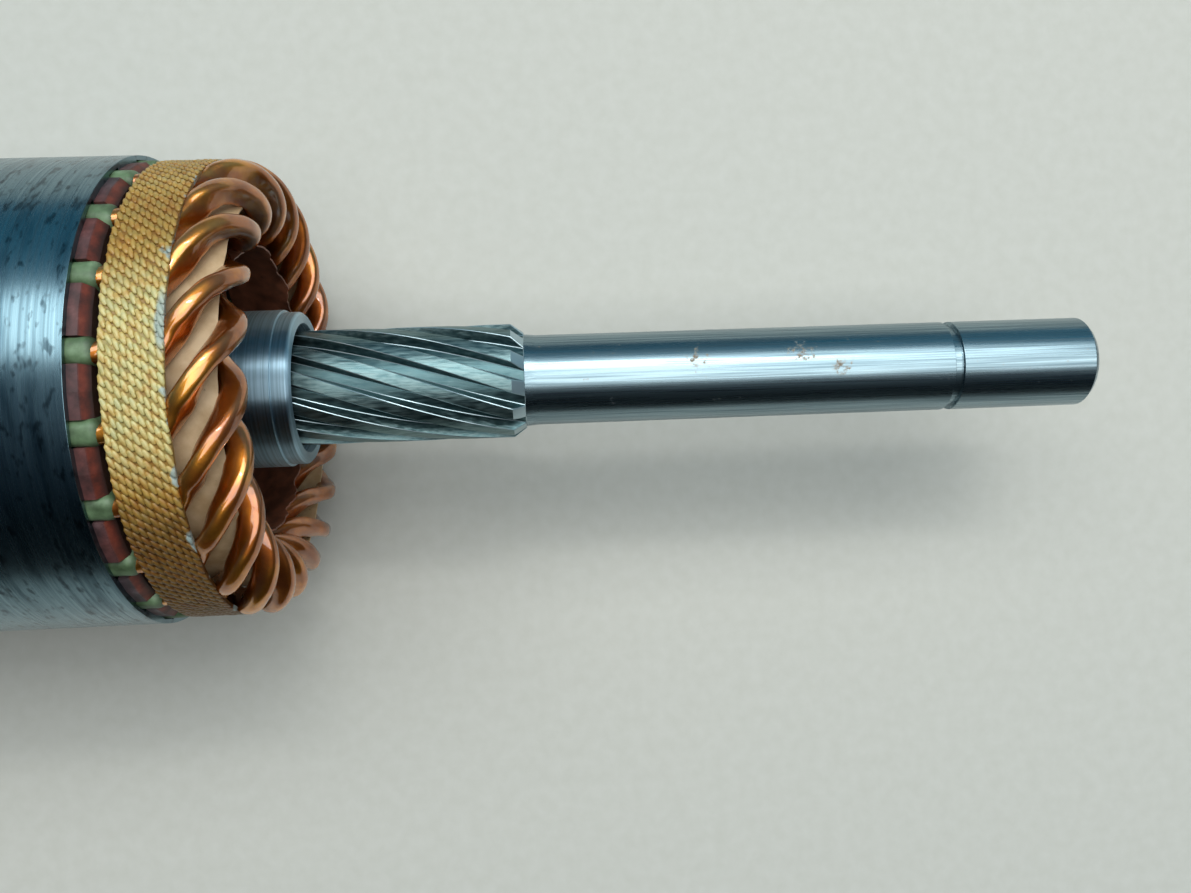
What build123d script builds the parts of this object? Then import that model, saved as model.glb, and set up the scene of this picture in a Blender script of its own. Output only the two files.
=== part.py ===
from build123d import *
import os
from math import atan2, cos, degrees, pi, radians, sin, tan

# Starter motor armature with its drive end towards +X. The origin is on the
# shaft axis at the drive-end face of the core. All sizes are in millimetres.

# Laminated core, its slots and their liners. The rim of the core has two
# flats to each slot, each 6 mm wide and 0.1 mm off round.
core_dia = 80.0
core_length = 90.0
core_sides = 42
slot_count = 21
slot_phase = 16.12
slot_bridge = 0.8
liner_wall = 0.3
liner_reach = 3.3

# Hairpin coils of flat copper wire bent on edge. The section has two flat sides,
# and each rounded edge is drawn as two flats.
wire_width = 2.9
wire_depth = 4.1
wire_edge = 0.8
wire_play = 0.2
layer_gap = 0.65
coil_span = 5
straight_run = 4.2

# Coil heads at the drive end and coil tails at the commutator end
head_reach = 22.0
head_drop = 8.2
leg_step = 4.7
leg_pitch = 0.63
return_dip = 1.2
nose_steps = 5
nose_step_turn = 30.0
nose_step_pitch = 0.275
nose_pitch = 2.32
tail_reach = 27.0
tail_droop = 0.8
tail_sag = 0.3
riser_tail = 4.0

# Fibre end discs, insulating papers and woven bands, with two flats to each slot
wrap_sides = 42
fibre_thickness = 2.8
fibre_bore = 32.0
fibre_margin = 1.0
fibre_bevel = 1.3
paper_thickness = 0.3
layer_paper_reach = 17.2
layer_paper_taper = 0.8
inner_paper_reach = 15.5
inner_paper_taper = 4.0
inner_paper_drop = 0.5
paper_lead = 0.3
band_lead = 1.0
band_width = 8.8
band_thickness = 0.3
winding_fit = 0.1

# Commutator
riser_dia = 68.0
riser_rim = 0.5
riser_thickness = 4.5
track_dia = 48.0
track_length = 28.0
bar_depth = 5.5
bar_gap = 0.8
mica_undercut = 0.6
hub_end = 2.0
hub_lip = 1.5

# Shaft
core_seat_dia = 21.0
commutator_seat_dia = 18.0
tail_journal_dia = 14.0
tail_journal_length = 20.0
tail_shoulder = 3.0
nose_dia = 16.0
nose_length = 102.1
neck_length = 2.2
groove_width = 1.6
groove_depth = 0.7
end_journal_length = 24.8
end_chamfer = 1.0

# Helical spline
spline_dia = 20.2
spline_root_dia = 16.6
spline_teeth = 12
spline_lead = 175.0
spline_reach = 61.5
spline_phase = 69.2
tooth_foot = 2.6
flank_angle = 70.0
spline_chamfer = 2.2
tooth_end_step = 0.2
groove_run_out = 3.0

# Bearing sleeve pressed on against the core
sleeve_dia = 27.6
sleeve_length = 23.0
sleeve_step_length = 3.0
sleeve_step_depth = 0.4
sleeve_mouth_dia = 22.8
sleeve_mouth_depth = 5.0
sleeve_edge = 0.5

# Worked out from the sizes above
pitch = 360 / slot_count
core_radius = core_dia / 2
wire_half = wire_depth / 2
slot_top = core_radius - slot_bridge
slot_width = wire_width + 2 * (wire_play + liner_wall)
outer_layer = slot_top - liner_wall - wire_play - wire_half
inner_layer = outer_layer - wire_depth - layer_gap
slot_bottom = inner_layer - wire_half - wire_play - liner_wall
slot_depth = slot_top - slot_bottom
slot_middle = (slot_top + slot_bottom) / 2
riser_outer_layer = riser_dia / 2 - riser_rim - wire_half
riser_inner_layer = riser_outer_layer - wire_depth - layer_gap
riser_face = -core_length - tail_reach
track_start = riser_face - riser_thickness
track_end = track_start - track_length
bar_bottom = track_dia / 2 - bar_depth
hub_face = track_end - hub_end
tail_start = hub_face - tail_shoulder
tail_end = tail_start - tail_journal_length
spline_start = sleeve_length - sleeve_mouth_depth
spline_length = spline_reach - spline_start
groove_end = spline_reach + nose_length - end_journal_length
shaft_end = spline_reach + nose_length
spline_radius = spline_dia / 2
root_radius = spline_root_dia / 2
nose_radius = nose_dia / 2


def ring_point(x, radius, turn):
    # A point at a radius from the shaft axis, turned from +Y towards +Z
    return Vector(x, radius * cos(radians(turn)), radius * sin(radians(turn)))


def head_corners():
    # One coil head: up the outer layer, round the nose on edge, down the inner layer
    nose_bend = head_drop / 2
    nose_x = head_reach - wire_half - nose_bend
    nose_middle = outer_layer - nose_bend
    corners = []
    for step in range(3):
        x = straight_run + step * leg_step
        corners.append(ring_point(x, outer_layer, -step * leg_pitch * pitch))
    for step in range(nose_steps):
        side = (nose_steps - 1) / 2 - step
        bend = radians(side * nose_step_turn)
        corners.append(
            ring_point(
                nose_x + nose_bend * cos(bend),
                nose_middle + nose_bend * sin(bend),
                -(nose_pitch - side * nose_step_pitch) * pitch,
            )
        )
    corners += [
        ring_point(
            straight_run + 2 * leg_step,
            outer_layer - head_drop,
            -(coil_span - 2.5 * leg_pitch) * pitch,
        ),
        ring_point(
            straight_run + leg_step,
            inner_layer - return_dip,
            -(coil_span - 1.4 * leg_pitch) * pitch,
        ),
        ring_point(straight_run, inner_layer, -coil_span * pitch),
    ]
    return corners


def tail_corners(layer, riser_layer, slot_turn, turn, droop):
    # Corners of one coil tail, from its slot to the bar where it ends
    slot_corner = -core_length - straight_run
    riser_corner = riser_face + riser_tail / 2
    corners = [ring_point(slot_corner, layer, slot_turn)]
    for share in (1 / 3, 2 / 3):
        x = slot_corner + share * (riser_corner - slot_corner)
        radius = layer + share * (riser_layer - layer) - droop
        corners.append(ring_point(x, radius, slot_turn + share * turn))
    corners.append(ring_point(riser_corner, riser_layer, slot_turn + turn))
    corners.append(ring_point(track_start + riser_rim, riser_layer, slot_turn + turn))
    return corners


def wire_section(point, along):
    # Corners of the wire's section there, its flat sides facing round the shaft
    around = Vector(0, -point.Z, point.Y).normalized()
    side = (around - along * around.dot(along)).normalized()
    deep = along.cross(side)
    flat_half = wire_half - wire_edge
    outline = [
        (wire_width / 2, flat_half),
        (0, wire_half),
        (-wire_width / 2, flat_half),
        (-wire_width / 2, -flat_half),
        (0, -wire_half),
        (wire_width / 2, -flat_half),
    ]
    return [point + side * across + deep * height for across, height in outline]


def bent_wire(corners):
    # A solid flat wire through the corners, faced with triangles between sections
    rings = []
    for number, point in enumerate(corners):
        before = corners[max(number - 1, 0)]
        after = corners[min(number + 1, len(corners) - 1)]
        along = Vector(0, 0, 0)
        if number > 0:
            along += (point - before).normalized()
        if number < len(corners) - 1:
            along += (after - point).normalized()
        rings.append(wire_section(point, along.normalized()))
    faces = [Face(Wire.make_polygon(rings[0])), Face(Wire.make_polygon(rings[-1]))]
    for near, far in zip(rings, rings[1:]):
        for corner in range(len(near)):
            following = (corner + 1) % len(near)
            for triangle in (
                (near[corner], near[following], far[following]),
                (near[corner], far[following], far[corner]),
            ):
                faces.append(Face(Wire.make_polygon(triangle)))
    return Solid(Shell(faces))


def revolved(points):
    # A turned solid from its half outline of (x, radius) points
    with BuildPart() as turned:
        with BuildSketch(Plane.XY):
            with BuildLine():
                Polyline(*points, close=True)
            make_face()
        revolve(axis=Axis.X)
    return turned.part


def save(piece, name):
    piece.part.label = name
    export_step(piece.part, f"parts/{name}.step")


os.makedirs("parts", exist_ok=True)

# Spline: a chamfered blank with helical grooves cut between its teeth
tool_radius = spline_radius + spline_chamfer / 2
groove_foot = pi * root_radius / spline_teeth - tooth_foot / 2
with BuildPart() as spline_groove:
    with BuildLine(mode=Mode.PRIVATE):
        groove_path = Helix(
            pitch=spline_lead,
            height=spline_length + 2 * groove_run_out,
            radius=(spline_radius + root_radius) / 2,
            center=(spline_start - groove_run_out, 0, 0),
            direction=(1, 0, 0),
        )
    groove_plane = Plane(
        origin=(spline_start - groove_run_out, 0, 0), x_dir=(0, 0, 1), z_dir=(1, 0, 0)
    )
    groove_mouth = groove_foot + (tool_radius - root_radius) / tan(radians(flank_angle))
    with BuildSketch(groove_plane):
        with BuildLine():
            Polyline(
                (root_radius, -groove_foot),
                (tool_radius, -groove_mouth),
                (tool_radius, groove_mouth),
                (root_radius, groove_foot),
                close=True,
            )
        make_face()
    sweep(path=groove_path, is_frenet=True)

with BuildPart() as spline:
    add(
        revolved(
            [
                (spline_start, 0),
                (spline_start, spline_radius),
                (spline_reach - spline_chamfer, spline_radius),
                (spline_reach, root_radius + tooth_end_step),
                (spline_reach, 0),
            ]
        )
    )
    run_in = spline_reach - spline_chamfer - spline_start + groove_run_out
    first_groove = spline_phase + 180 / spline_teeth - 360 * run_in / spline_lead - 90
    for number in range(spline_teeth):
        turn = first_groove + number * 360 / spline_teeth
        add(spline_groove.part.rotate(Axis.X, turn), mode=Mode.SUBTRACT)

# Shaft: tail journal, seats for commutator and core, the spline and the nose
with BuildPart() as shaft:
    add(spline.part)
    add(
        revolved(
            [
                (tail_end, 0),
                (tail_end, tail_journal_dia / 2 - end_chamfer),
                (tail_end + end_chamfer, tail_journal_dia / 2),
                (tail_start, tail_journal_dia / 2),
                (tail_start, commutator_seat_dia / 2),
                (riser_face, commutator_seat_dia / 2),
                (riser_face, core_seat_dia / 2),
                (spline_start, core_seat_dia / 2),
                (spline_start, 0),
            ]
        )
    )
    add(
        revolved(
            [
                (spline_reach, 0),
                (spline_reach, root_radius - tooth_end_step / 2),
                (spline_reach + neck_length, nose_radius),
                (groove_end - groove_width, nose_radius),
                (groove_end - groove_width, nose_radius - groove_depth),
                (groove_end, nose_radius - groove_depth),
                (groove_end, nose_radius),
                (shaft_end - end_chamfer, nose_radius),
                (shaft_end, nose_radius - end_chamfer),
                (shaft_end, 0),
            ]
        )
    )
save(shaft, "shaft")

# Bearing sleeve with a ground track, a lower end land and a wide mouth
sleeve_radius = sleeve_dia / 2
land_radius = sleeve_radius - sleeve_step_depth
land_start = sleeve_length - sleeve_step_length
mouth_start = sleeve_length - sleeve_mouth_depth
with BuildPart() as bearing_sleeve:
    add(
        revolved(
            [
                (0, core_seat_dia / 2),
                (0, sleeve_radius),
                (land_start, sleeve_radius),
                (land_start, land_radius),
                (sleeve_length - sleeve_edge, land_radius),
                (sleeve_length, land_radius - sleeve_edge),
                (sleeve_length, sleeve_mouth_dia / 2),
                (mouth_start, sleeve_mouth_dia / 2),
                (mouth_start, core_seat_dia / 2),
            ]
        )
    )
save(bearing_sleeve, "bearing_sleeve")

# Laminated core with closed slots
with BuildPart() as core_stack:
    with BuildSketch(Plane.YZ):
        RegularPolygon(core_radius, core_sides, major_radius=False)
        Circle(core_seat_dia / 2, mode=Mode.SUBTRACT)
    extrude(amount=-core_length)
    with BuildSketch(Plane.YZ):
        with PolarLocations(slot_middle, slot_count, start_angle=slot_phase):
            Rectangle(slot_depth, slot_width)
    extrude(amount=-core_length, mode=Mode.SUBTRACT)
save(core_stack, "core_stack")

# Slot liners, which stand out past both ends of the core
with BuildPart() as slot_liners:
    with BuildSketch(Plane.YZ.offset(liner_reach)):
        with PolarLocations(slot_middle, slot_count, start_angle=slot_phase):
            Rectangle(slot_depth, slot_width)
            Rectangle(
                slot_depth - 2 * liner_wall,
                slot_width - 2 * liner_wall,
                mode=Mode.SUBTRACT,
            )
    extrude(amount=-core_length - 2 * liner_reach)
save(slot_liners, "slot_liners")


def fibre_disc(face, direction):
    # A punched end disc on a core face, bevelled on its far side
    with BuildPart() as disc:
        with BuildSketch(Plane.YZ.offset(face)):
            RegularPolygon(core_radius - fibre_margin, wrap_sides, rotation=slot_phase)
            Circle(fibre_bore / 2, mode=Mode.SUBTRACT)
        extrude(amount=direction * fibre_thickness)
        far_face = disc.faces().sort_by(Axis.X)[-1 if direction > 0 else 0]
        chamfer(far_face.outer_wire().edges(), fibre_bevel)
        with BuildSketch(Plane.YZ.offset(face)):
            with PolarLocations(slot_middle, slot_count, start_angle=slot_phase):
                Rectangle(slot_depth, slot_width)
        extrude(amount=direction * fibre_thickness, mode=Mode.SUBTRACT)
    return disc


save(fibre_disc(0, 1), "end_fibre_drive")
save(fibre_disc(-core_length, -1), "end_fibre_comm")

# One hairpin coil as a single bent wire, then its turned copies
corners = list(
    reversed(tail_corners(outer_layer, riser_outer_layer, 0, coil_span / 2 * pitch, 0))
)
corners += head_corners()
corners += tail_corners(
    inner_layer,
    riser_inner_layer,
    -coil_span * pitch,
    -coil_span / 2 * pitch,
    tail_droop,
)
with BuildPart() as hairpin:
    add(bent_wire(corners))
print("coil volume", hairpin.part.volume, hairpin.part.is_valid)

for number in range(slot_count):
    with BuildPart() as coil:
        add(hairpin.part.rotate(Axis.X, slot_phase + number * pitch))
    save(coil, f"coil_{number + 1:02d}")


def wrapping(start, end, radius_start, radius_end, thickness):
    # A sheet wrapped round the axis from one place to another, by its outer radius
    length = end - start
    fall = (radius_start - radius_end) * cos(pi / wrap_sides)
    with BuildPart() as sheet:
        for inset, mode in ((0, Mode.ADD), (thickness, Mode.SUBTRACT)):
            with BuildSketch(Plane.YZ.offset(start)):
                RegularPolygon(radius_start - inset, wrap_sides, rotation=slot_phase)
            extrude(amount=length, taper=degrees(atan2(fall, abs(length))), mode=mode)
    return sheet


# Papers between the coil layers and inside the inner layer
layer_paper_radius = outer_layer - wire_half - winding_fit
inner_paper_radius = inner_layer - wire_half - winding_fit - inner_paper_drop
paper_start = liner_reach + paper_lead
save(
    wrapping(
        paper_start,
        layer_paper_reach,
        layer_paper_radius,
        layer_paper_radius - layer_paper_taper,
        paper_thickness,
    ),
    "layer_paper_drive",
)
save(
    wrapping(
        paper_start,
        inner_paper_reach,
        inner_paper_radius,
        inner_paper_radius - inner_paper_taper,
        paper_thickness,
    ),
    "inner_paper_drive",
)
tail_paper_start = -core_length - straight_run
tail_paper_end = riser_face + riser_tail
tail_run = tail_reach - straight_run - riser_tail / 2
tail_fall = (outer_layer - riser_outer_layer) / tail_run
tail_paper_taper = tail_fall * (tail_paper_start - tail_paper_end)
save(
    wrapping(
        tail_paper_start,
        tail_paper_end,
        layer_paper_radius - tail_sag,
        layer_paper_radius - tail_sag - tail_paper_taper,
        paper_thickness,
    ),
    "layer_paper_comm",
)
save(
    wrapping(
        tail_paper_start,
        tail_paper_end,
        inner_paper_radius - tail_droop,
        inner_paper_radius - tail_droop - tail_paper_taper,
        paper_thickness,
    ),
    "inner_paper_comm",
)


# Woven bands around the outer layer
band_radius = outer_layer + wire_half + winding_fit + band_thickness
band_start = liner_reach + band_lead
for name, start, end in (
    ("band_drive", band_start, band_start + band_width),
    ("band_comm", -core_length - band_start - band_width, -core_length - band_start),
):
    save(wrapping(start, end, band_radius, band_radius, band_thickness), name)


def bar_outline(undercut):
    # Half outline of the commutator ring with its riser
    track = track_dia / 2 - undercut
    riser = riser_dia / 2 - undercut
    return [
        (track_end, bar_bottom),
        (track_end, track),
        (track_start, track),
        (track_start, riser),
        (riser_face, riser),
        (riser_face, bar_bottom),
    ]


# Commutator bars, each with a slot in its riser for two wire ends
commutator_length = riser_face - track_end
with BuildPart() as commutator_bars:
    add(revolved(bar_outline(0)))
    with BuildSketch(Plane.YZ.offset(track_end)):
        with PolarLocations(riser_dia / 4, slot_count, start_angle=slot_phase):
            Rectangle(riser_dia / 2 + bar_depth, bar_gap)
    extrude(amount=commutator_length, mode=Mode.SUBTRACT)
    notch_bottom = riser_inner_layer - wire_half - wire_play
    notch_depth = riser_dia / 2 + riser_rim - notch_bottom
    with BuildSketch(Plane.YZ.offset(track_start)):
        with PolarLocations(
            notch_bottom + notch_depth / 2,
            slot_count,
            start_angle=slot_phase + pitch / 2,
        ):
            Rectangle(notch_depth, wire_width + 2 * wire_play)
    extrude(amount=riser_thickness, mode=Mode.SUBTRACT)
save(commutator_bars, "commutator_bars")

# Mica plates between the bars, a little below their surface
with BuildPart() as mica_plate:
    with BuildSketch(Plane.XY):
        with BuildLine():
            Polyline(*bar_outline(mica_undercut), close=True)
        make_face()
    extrude(amount=bar_gap / 2, both=True)

with BuildPart() as commutator_mica:
    for number in range(slot_count):
        add(mica_plate.part.rotate(Axis.X, slot_phase + number * pitch))
save(commutator_mica, "commutator_mica")

# Moulded hub with a lip over the ends of the bars
with BuildPart() as commutator_hub:
    add(
        revolved(
            [
                (hub_face, commutator_seat_dia / 2),
                (hub_face, bar_bottom + hub_lip),
                (track_end, bar_bottom + hub_lip),
                (track_end, bar_bottom),
                (riser_face, bar_bottom),
                (riser_face, commutator_seat_dia / 2),
            ]
        )
    )
save(commutator_hub, "commutator_hub")
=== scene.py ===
# Starter motor armature on a pale floor, seen from above its drive end.
# Lengths are in millimetres and turn to metres where a piece is made. X runs along
# the shaft to the drive end, and a turn of 0 degrees points to +Y, of 90 to +Z.
import random
from math import atan2, cos, degrees, pi, radians, sin

import bpy
from mathutils import Matrix, Vector


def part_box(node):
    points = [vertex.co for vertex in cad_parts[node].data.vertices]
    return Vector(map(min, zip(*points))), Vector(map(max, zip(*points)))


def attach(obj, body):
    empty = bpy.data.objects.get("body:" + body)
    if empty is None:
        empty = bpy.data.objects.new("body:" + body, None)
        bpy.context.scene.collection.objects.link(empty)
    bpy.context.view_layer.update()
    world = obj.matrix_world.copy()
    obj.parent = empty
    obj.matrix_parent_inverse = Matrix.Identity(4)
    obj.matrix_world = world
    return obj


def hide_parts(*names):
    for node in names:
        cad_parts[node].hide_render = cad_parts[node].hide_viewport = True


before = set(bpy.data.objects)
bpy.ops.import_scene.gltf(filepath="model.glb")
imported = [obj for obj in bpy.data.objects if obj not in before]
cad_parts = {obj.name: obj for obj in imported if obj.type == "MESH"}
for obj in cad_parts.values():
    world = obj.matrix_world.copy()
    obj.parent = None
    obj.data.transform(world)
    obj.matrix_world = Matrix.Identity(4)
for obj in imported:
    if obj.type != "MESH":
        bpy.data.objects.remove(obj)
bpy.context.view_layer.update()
mm = 0.001


def span(node):
    # Lowest and highest corner of a node, in millimetres
    low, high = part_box(node)
    return low / mm, high / mm


# Sizes taken from the frame
core_low, core_high = span("core_stack")
core_radius = core_high.z
core_back = core_low.x
core_face = core_high.x
core_middle = (core_face + core_back) / 2
core_half = (core_face - core_back) / 2
sleeve_high = span("bearing_sleeve")[1]
sleeve_radius = sleeve_high.z
sleeve_end = sleeve_high.x
shaft_low, shaft_high = span("shaft")
tail_end = shaft_low.x
nose_end = shaft_high.x
bars_low, bars_high = span("commutator_bars")
track_end = bars_low.x
riser_face = bars_high.x
riser_radius = bars_high.z
hub_face = span("commutator_hub")[0].x

# Core, its slots and the paper liners that stick out of them
core_bore = 10.4
slot_count = 21
slot_phase = 16.12
slot_turn = 360 / slot_count
slot_top = 39.2
slot_bottom = 29.35
slot_width = 3.9
liner_end = 3.7
liner_wall = 0.3
liner_corner = 1.5
liner_lip = 1.4
liner_play_deep = 0.05
liner_play_side = 0.03
flare_start = 1.2
flare_rate = 0.06
fibre_rim = 1.6

# Flat wire, and the two layers it makes in the slots
wire_width = 2.9
wire_depth = 4.1
wire_edge = 1.1
outer_layer = 36.65
inner_layer = 31.9
coil_span = 5

# Coil heads and tails. A pitch is the turn from one slot to the next.
head_start = 4.2
head_reach = 21.5
head_drop = 8.2
head_bulge = 0.8
nose_swell = 0.7
nose_pitch = 2.32
nose_twist = 0.275
tail_start = core_back - head_start
tail_dip = 0.8
riser_corner = riser_face + 2
wire_end = riser_face - 4
riser_outer = 31.45
riser_inner = 26.7

# How much the coils differ by hand, and how much less the heads near the floor reach
hand_seed = 21
hand_reach = 0.25
hand_drop = 0.3
hand_lean = 0.03
floor_side = 0.45

# Braid round the coil heads: columns of leaning stitches on a backing
braid_radius = 39.2
braid_start = 4.2
braid_columns = 9
braid_column = 0.98
braid_lean = 66
braid_count = 150
stitch_size = (1.14, 0.45, 0.25)
stitch_middle = 0.3
stitch_crest = 0.06
backing_top = 0.36
backing_base = 0.9

# Pale paint on the braid: along its drive edge, and one larger smear
smudge_from = 11.0
smudge_to = 13.2
smear_at = Vector((12.6, 7.2, 38.5))
smear_width = 0.9
smear_length = 4.6

# Papers in the winding
paper_edge = 18.3
paper_wall = 0.3
torn_reach = 4

# Commutator, and where the brushes have run on it
bar_bore = 18.5
slit_half = 0.4
track_radius = 24.0
riser_width = 4.5
notch_floor = 24.45
notch_half = 1.65
past_risers = 35
brush_middle = 13.0
brush_half = 9.0

# Shaft as turned. Its outline starts and ends at a tiny radius, beside the axis.
beside_axis = 0.01
tail_radius = 7.0
hub_seat = 9.0
core_seat = 10.45
neck_end = 63.7
nose_radius = 8.0
groove_start = 137.2
groove_end = 138.8
groove_radius = 7.3

# Rust on top of the nose
rust_spots = [Vector((91.4, 2.5, 7.6)), Vector((110.1, 3.1, 7.4)), Vector((116.6, 0, 8))]
rust_reach = 3.4

# Helical spline. One of its teeth stands at spline_turn degrees at spline_turn_at.
spline_root = 8.3
spline_crest = 10.1
spline_teeth = 12
spline_lead = 175.0
spline_turn = 69.2
spline_turn_at = 59.3
spline_start = 18.0
spline_end = 61.5
spline_chamfer = 2.2
spline_spare = 0.3
crest_half_turn = 7
tooth_points = 10
screw_steps = 36
oil_start = 19.5
oil_end = 29

# Bearing sleeve
sleeve_bore = 10.5
mouth_radius = 11.4
mouth_depth = 5
land_width = 3
land_drop = 0.4
mouth_chamfer = 0.5


def deselect():
    if bpy.context.object and bpy.context.object.mode != "OBJECT":
        bpy.ops.object.mode_set(mode="OBJECT")
    bpy.ops.object.select_all(action="DESELECT")


def choose(piece):
    deselect()
    piece.select_set(True)
    bpy.context.view_layer.objects.active = piece


def edit(piece, action):
    # Opens a piece for editing, with all of it selected or none
    choose(piece)
    bpy.ops.object.mode_set(mode="EDIT")
    bpy.ops.mesh.select_all(action=action)


def settle(piece, **changes):
    # Sets a piece's place, turn or size and puts them into its mesh
    for name, value in changes.items():
        setattr(piece, name, value)
    choose(piece)
    bpy.ops.object.transform_apply(location=True, rotation=True, scale=True)


def modify(piece, kind, **settings):
    # Adds a modifier with its settings and applies it
    choose(piece)
    modifier = piece.modifiers.new(kind.title(), kind)
    for name, value in settings.items():
        setattr(modifier, name, value)
    bpy.ops.object.modifier_apply(modifier=modifier.name)


def close_up(piece, gap=1e-6):
    # Joins doubled points and turns the faces outwards
    edit(piece, "SELECT")
    bpy.ops.mesh.remove_doubles(threshold=gap)
    bpy.ops.mesh.normals_make_consistent(inside=False)
    bpy.ops.object.mode_set(mode="OBJECT")


def smooth(piece, angle=35, weighted=False):
    # Smooth shading up to an angle. Weighted keeps wide faces true beside small bevels.
    choose(piece)
    bpy.ops.object.shade_smooth_by_angle(angle=radians(angle))
    if weighted:
        modify(piece, "WEIGHTED_NORMAL", keep_sharp=True)


def soften(piece, width, angle=30):
    # Small bevels on the edges that turn by more than an angle
    modify(
        piece,
        "BEVEL",
        width=width * mm,
        segments=2,
        limit_method="ANGLE",
        angle_limit=radians(angle),
    )
    smooth(piece, weighted=True)


def circle(x, radius, sides, fill="NOTHING"):
    # A circle of points round the shaft axis
    deselect()
    bpy.ops.mesh.primitive_circle_add(
        vertices=sides,
        radius=radius * mm,
        fill_type=fill,
        location=(x * mm, 0, 0),
        rotation=(0, pi / 2, 0),
    )
    piece = bpy.context.object
    settle(piece)
    return piece


def resize(share, x):
    # Scales the selected points towards the shaft axis or away from it
    bpy.ops.transform.resize(value=(1, share, share), center_override=(x * mm, 0, 0))


def turned(outline, sides=128, ring=True, closed=True):
    # A lathe-turned piece: a circle drawn out along X from (x, radius) to (x, radius).
    # A ring comes back to its first circle, and a sheet is left open at both ends.
    start, radius = outline[0]
    piece = circle(start, radius, sides, "NOTHING" if ring else "NGON")
    edit(piece, "SELECT")
    steps = outline[1:] + ([outline[0]] if ring and closed else [])
    for x, new_radius in steps:
        bpy.ops.mesh.extrude_region_move(
            TRANSFORM_OT_translate={"value": ((x - start) * mm, 0, 0)}
        )
        resize(new_radius / radius, x)
        start, radius = x, new_radius
    bpy.ops.object.mode_set(mode="OBJECT")
    close_up(piece)
    return piece


def join(pieces):
    deselect()
    for piece in pieces:
        piece.select_set(True)
    bpy.context.view_layer.objects.active = pieces[0]
    bpy.ops.object.join()
    return pieces[0]


def link(name, data):
    # A new object in the scene
    piece = bpy.data.objects.new(name, data)
    bpy.context.scene.collection.objects.link(piece)
    return piece


def spin(piece, turn):
    # Turns a piece's mesh about the shaft axis
    piece.data.transform(Matrix.Rotation(radians(turn), 4, "X"))


def repeat_around(piece, count, start=0):
    # Copies a piece round the shaft axis, the first one turned by start degrees
    pivot = link("pivot", None)
    pivot.rotation_euler.x = 2 * pi / count
    bpy.context.view_layer.update()
    modify(
        piece,
        "ARRAY",
        count=count,
        use_relative_offset=False,
        use_object_offset=True,
        offset_object=pivot,
    )
    bpy.data.objects.remove(pivot)
    spin(piece, start)


def cut(piece, tool, operation="DIFFERENCE"):
    modify(piece, "BOOLEAN", operation=operation, solver="EXACT", object=tool)
    bpy.data.objects.remove(tool)


def box(low, high):
    # A block between two corners
    deselect()
    bpy.ops.mesh.primitive_cube_add(size=mm, location=(low + high) / 2 * mm)
    block = bpy.context.object
    settle(block, scale=high - low)
    return block


def round_edges(block, axis, width, segments):
    # Rounds the edges of a block that run along an axis
    edit(block, "DESELECT")
    bpy.ops.object.mode_set(mode="OBJECT")
    for edge in block.data.edges:
        first, last = (block.data.vertices[i].co for i in edge.vertices)
        edge.select = abs(first[axis] - last[axis]) > 1 * mm
    bpy.ops.object.mode_set(mode="EDIT")
    bpy.ops.mesh.select_mode(type="EDGE")
    bpy.ops.mesh.bevel(offset=width * mm, segments=segments)


def ruffle(piece, strength, size, direction="NORMAL", group=""):
    # Small uneven waves in a surface
    texture = bpy.data.textures.new("waves", "CLOUDS")
    texture.noise_scale = size * mm
    modify(
        piece,
        "DISPLACE",
        texture=texture,
        texture_coords="LOCAL",
        direction=direction,
        strength=strength * mm,
        mid_level=0.5,
        vertex_group=group,
    )


def place(piece, name, material, slot, *nodes):
    # Names a finished piece and lets it stand for its solids
    piece.name = name
    piece.data.name = name
    if piece.data.materials:
        piece.data.materials[0] = material
    else:
        piece.data.materials.append(material)
    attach(piece, "root")
    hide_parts(*nodes)


def colour(code):
    # An sRGB hex value as linear light
    channels = [int(code[digit : digit + 2], 16) / 255 for digit in (1, 3, 5)]
    linear = [c / 12.92 if c <= 0.04045 else ((c + 0.055) / 1.055) ** 2.4 for c in channels]
    return (*linear, 1.0)


def add(tree, kind, sockets, **settings):
    # Adds a node, sets it, and links or sets its sockets
    node = tree.nodes.new(kind)
    for name, value in settings.items():
        setattr(node, name, value)
    for name, value in sockets.items():
        if isinstance(value, bpy.types.NodeSocket):
            tree.links.new(value, node.inputs[name])
        else:
            node.inputs[name].default_value = value
    return node


def noise(tree, place_on, size, detail=2.0, roughness=0.5):
    # Cloudy noise with spots of about this size in mm
    sockets = {"Vector": place_on, "Scale": 1000 / size, "Detail": detail, "Roughness": roughness}
    return add(tree, "ShaderNodeTexNoise", sockets).outputs[0]


def grain(tree, place_on, along, across, detail):
    # Noise stretched so that its grain has these two lengths in mm
    scale = (1000 / along, 1000 / across, 1000 / across)
    stretched = add(tree, "ShaderNodeMapping", {"Vector": place_on, "Scale": scale})
    sockets = {"Vector": stretched.outputs[0], "Scale": 1.0, "Detail": detail}
    return add(tree, "ShaderNodeTexNoise", sockets).outputs[0]


def remap(tree, value, low, high, at_low, at_high):
    # Turns values between low and high into values between two others, and no further
    sockets = dict(enumerate((value, low, high, at_low, at_high)))
    return add(tree, "ShaderNodeMapRange", sockets).outputs[0]


def ramp(tree, value, *stops):
    # Turns a value into a colour
    node = add(tree, "ShaderNodeValToRGB", {"Fac": value})
    elements = node.color_ramp.elements
    while len(elements) < len(stops):
        elements.new(0.5)
    for element, (position, shade) in zip(elements, stops):
        element.position = position
        element.color = colour(shade)
    return node.outputs[0]


def reckon(tree, operation, *values):
    # Arithmetic on values
    return add(tree, "ShaderNodeMath", dict(enumerate(values)), operation=operation).outputs[0]


def move(tree, operation, *vectors):
    # Arithmetic on places. Distances and lengths come out as values.
    node = add(tree, "ShaderNodeVectorMath", dict(enumerate(vectors)), operation=operation)
    return node.outputs["Value" if operation in ("DISTANCE", "LENGTH") else "Vector"]


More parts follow.
